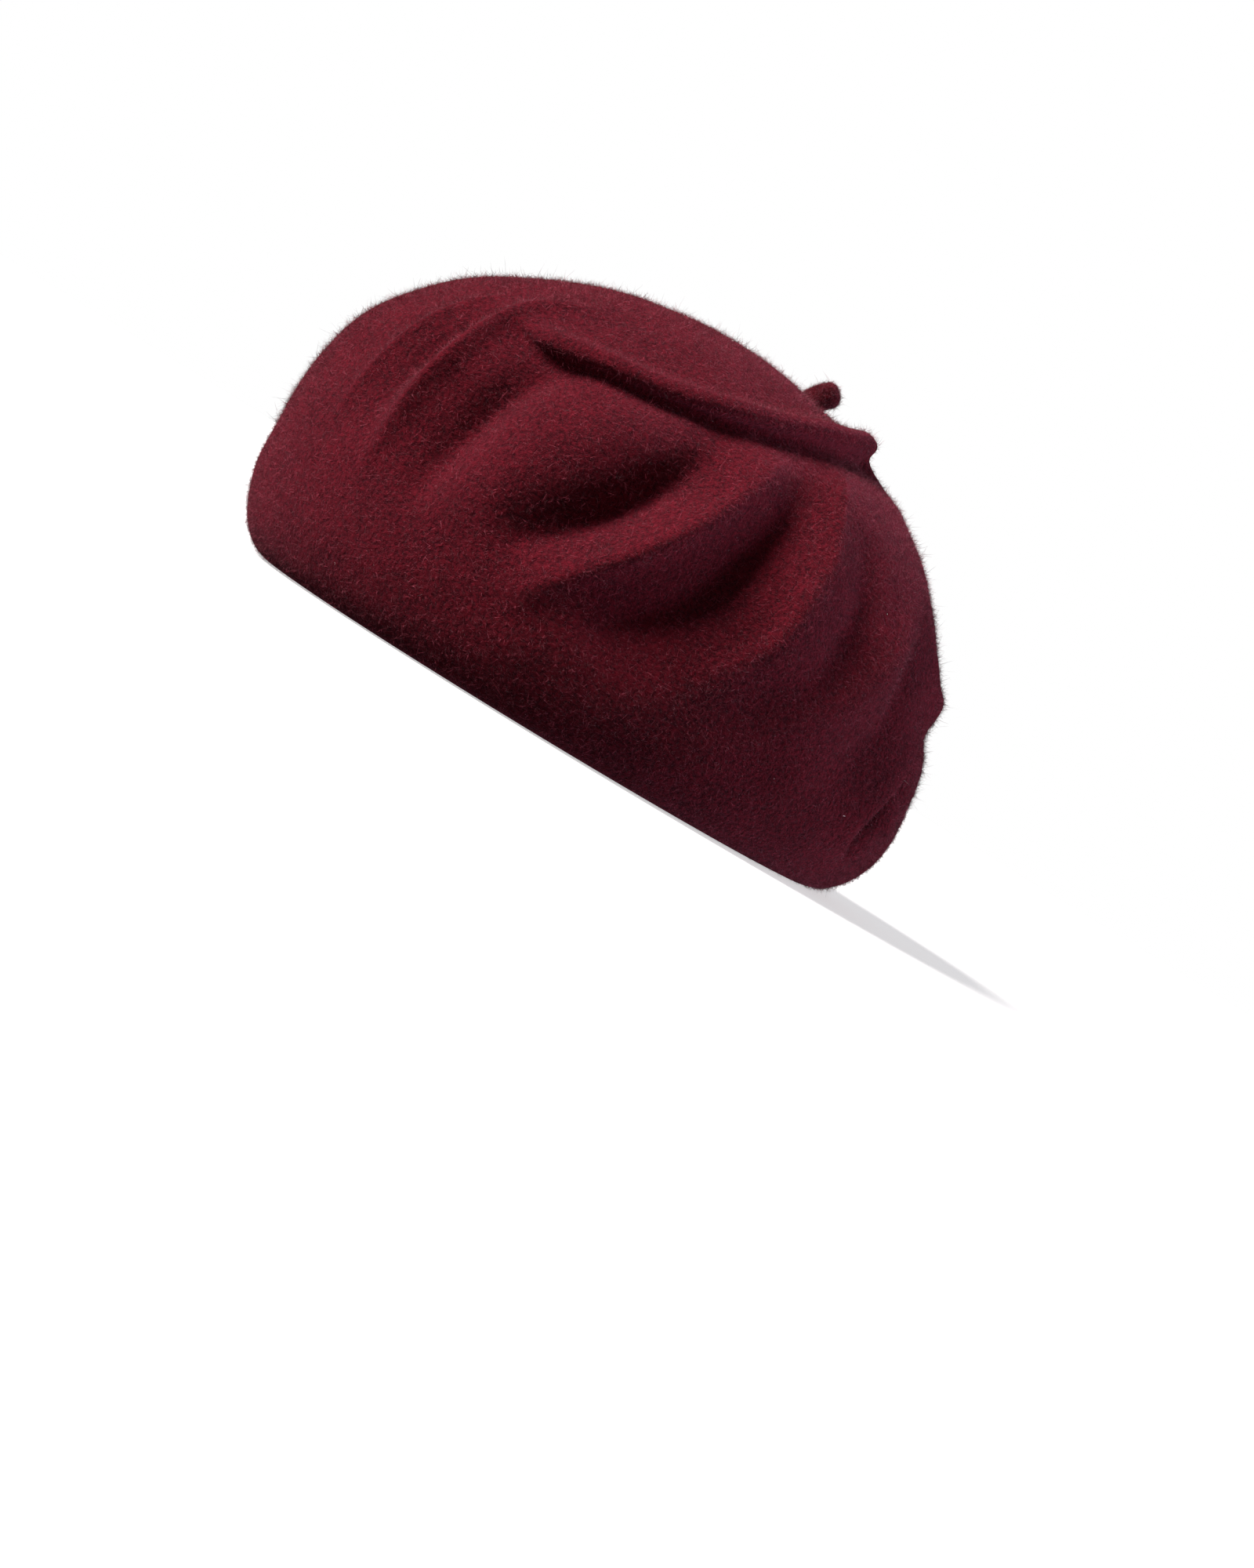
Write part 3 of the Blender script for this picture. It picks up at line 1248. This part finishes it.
class BERET_OT_stalk(bpy.types.Operator):
    """Rolls the felt stalk on top, with its own nap"""

    bl_idname = "beret.stalk"
    bl_label = "Stalk"

    def execute(self, context):
        felt = context.scene.beret_felt
        block = Block(context.scene.beret_block)
        root, pivot, way = stalk_line(block)
        up = unit(pivot - root)
        turned = np.linspace(0, math.pi / 2, 9)
        profile = [(-4.6, 6.4), (-3.8, 5.5), (-3.0, 4.95), (-1.8, 4.65), (-0.4, 4.5), (1.0, 4.45), (2.4, 4.45)]
        profile += [(3.5 + 3.4 * math.sin(t), 1.1 + 3.4 * math.cos(t)) for t in turned]
        profile += [(6.85, 0.6), (6.8, 0.1)]
        steps = np.linspace(-5.0, 7.5, 126)
        turning = ease((steps + 4.4) / 8.0)[:, None]
        ways = unit(up * (1 - turning) + way * turning)
        spine = np.cumsum(ways, axis=0) * (steps[1] - steps[0])
        spine += pivot - np.array([np.interp(0, steps, column) for column in spine.T])
        sides = 44
        turn = np.arange(sides) * 2 * math.pi / sides
        across = np.array([1.0, 0.0, 0.0])
        verts, faces = [], []
        for number, (along, radius) in enumerate(profile):
            middle, axis = (np.array([np.interp(along, steps, c) for c in table.T]) for table in (spine, ways))
            above = np.cross(axis, across)
            lumps = 1 + 0.025 * np.sin(3 * turn + 0.5 * along) + 0.018 * np.sin(5 * turn - 0.9 * along + 1.0)
            ring = np.cos(turn)[:, None] * across + np.sin(turn)[:, None] * above
            verts.append(middle + (radius * lumps)[:, None] * ring)
            if number:
                ring = np.arange(sides) + number * sides
                faces += strip(ring - sides, ring)
        faces.append(tuple(range(sides)))
        faces.append(tuple(range((len(profile) - 1) * sides, len(profile) * sides)))
        material = felt_paint(felt, "stalk_felt", tone=0.8)
        stub = made("felt_stalk", [(np.vstack(verts), faces)], material, None, "stalk")

        random = np.random.default_rng(17)
        surface = surface_of(stub)
        for shade in ("light", "middle", "dark"):
            name, tint = "stalk_nap_" + shade, getattr(felt, "fibre_" + shade)
            at, out = roots(surface, 900, random, lambda middle, normal: (middle - root) @ up > 0.3)
            short = felt.fibre_length * 0.8
            verts, faces = fibres(at, out, random, short, felt.fibre_width, lift=(0.12, 0.85), curl=0.22)
            nap = build(name, verts, faces, fibre_paint(name, tint), None)
            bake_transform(nap)
        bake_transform(stub)
        return {"FINISHED"}


# ---------------------------------------------------------------- stage


class BERET_OT_stage(bpy.types.Operator):
    """Sets the floor, the lights and the camera"""

    bl_idname = "beret.stage"
    bl_label = "Stage"

    def execute(self, context):
        scene, stage = context.scene, context.scene.beret_stage
        up = Vector((0, -math.sin(stage.tip), math.cos(stage.tip)))
        ahead = Vector((0, -math.cos(stage.tip), -math.sin(stage.tip)))
        mesh = bpy.data.meshes.new("floor")
        reach, gap = 40.0, 0.0004
        verts = [(x, y, -gap) for x, y in ((-reach, -reach), (reach, -reach), (reach, reach), (-reach, reach))]
        mesh.from_pydata(verts, [], [(0, 1, 2, 3)])
        floor = bpy.data.objects.new("floor", mesh)
        floor.visible_diffuse = False
        floor.visible_shadow = False
        floor.visible_glossy = False
        scene.collection.objects.link(floor)
        paint = Paint("floor", roughness=0.95, specular_ior_level=0.1, emission_strength=stage.glow)
        put(paint.tree, paint.shader.inputs["Emission Color"], (1.0, 1.0, 1.0))
        mesh.materials.append(paint.finish(tuple(stage.floor)))

        world = bpy.data.worlds.new("sky")
        scene.world = world
        world.use_nodes = True
        tree = world.node_tree
        light = node_in(tree, "Background", {}, {"Color": (0.97, 0.96, 1.0), "Strength": stage.sky})
        seen = node_in(tree, "Background", {}, {"Color": (1.0, 1.0, 1.0)})
        by_camera = node_in(tree, "LightPath", {}, {}, "Is Camera Ray")
        either = node_in(tree, "MixShader", {}, {0: by_camera, 1: light, 2: seen})
        put(tree, tree.nodes["World Output"].inputs["Surface"], either)
        warm, cool = (1.0, 0.94, 0.93), (0.78, 0.80, 1.0)
        # for each lamp, the way to it, its strength, its softness in degrees and its tint
        lamps = {
            "key": (Vector((0.24, 0, 0)) + up * 0.92 + ahead * 0.33, stage.key, 24, warm),
            "fill": (Vector((0.9, 0.1, 0.35)), stage.fill, 90, warm),
            "back": (Vector((-0.04, 0, 0)) - ahead * 0.84 - up * 0.53, stage.back, 30, cool),
        }
        for name, (way, strength, softness, tint) in lamps.items():
            sun = bpy.data.lights.new(name, "SUN")
            sun.energy, sun.angle, sun.color = strength, math.radians(softness), tint
            lamp = bpy.data.objects.new(name, sun)
            lamp.location = way.normalized() * 2
            lamp.rotation_euler = way.to_track_quat("Z", "Y").to_euler()
            scene.collection.objects.link(lamp)

        lens = bpy.data.cameras.new("camera")
        lens.lens = lens.sensor_width * stage.distance / (stage.seen_height * MM)
        camera = bpy.data.objects.new("camera", lens)
        scene.collection.objects.link(camera)
        camera.location = (stage.distance, EYE[1] * MM, stage.camera_height * MM)
        target = Vector((0.0, 0.0379, -0.0023))
        forward = (target - camera.location).normalized()
        right = forward.cross(up).normalized()
        above = right.cross(forward)
        turned = Matrix((right, above, -forward)).transposed().to_4x4()
        camera.matrix_world = Matrix.Translation(camera.location) @ turned
        scene.camera = camera
        scene.view_settings.view_transform = "Standard"
        return {"FINISHED"}


class BERET_PT_panel(bpy.types.Panel):
    """The steps that build the beret, in order"""

    bl_label = "Beret"
    bl_idname = "BERET_PT_panel"
    bl_space_type = "VIEW_3D"
    bl_region_type = "UI"
    bl_category = "Beret"

    def draw(self, context):
        for step in STEPS:
            self.layout.operator(step.bl_idname, text=step.bl_label)


SETTINGS = {
    "beret_block": BlockSettings,
    "beret_mesh": MeshSettings,
    "beret_felt": FeltSettings,
    "beret_trim": TrimSettings,
    "beret_stage": StageSettings,
}
STEPS = (
    BERET_OT_crown,
    BERET_OT_nap,
    BERET_OT_stalk,
    BERET_OT_sweatband,
    BERET_OT_labels,
    BERET_OT_sewing,
    BERET_OT_stage,
)


def register():
    for kind in (*SETTINGS.values(), *STEPS, BERET_PT_panel):
        bpy.utils.register_class(kind)
    for name, kind in SETTINGS.items():
        setattr(bpy.types.Scene, name, PointerProperty(type=kind))


def unregister():
    for name in SETTINGS:
        delattr(bpy.types.Scene, name)
    for kind in reversed((*SETTINGS.values(), *STEPS, BERET_PT_panel)):
        bpy.utils.unregister_class(kind)


def main():
    register()
    for step in STEPS:
        group, name = step.bl_idname.split(".")
        getattr(getattr(bpy.ops, group), name)()


if __name__ == "__main__":
    main()
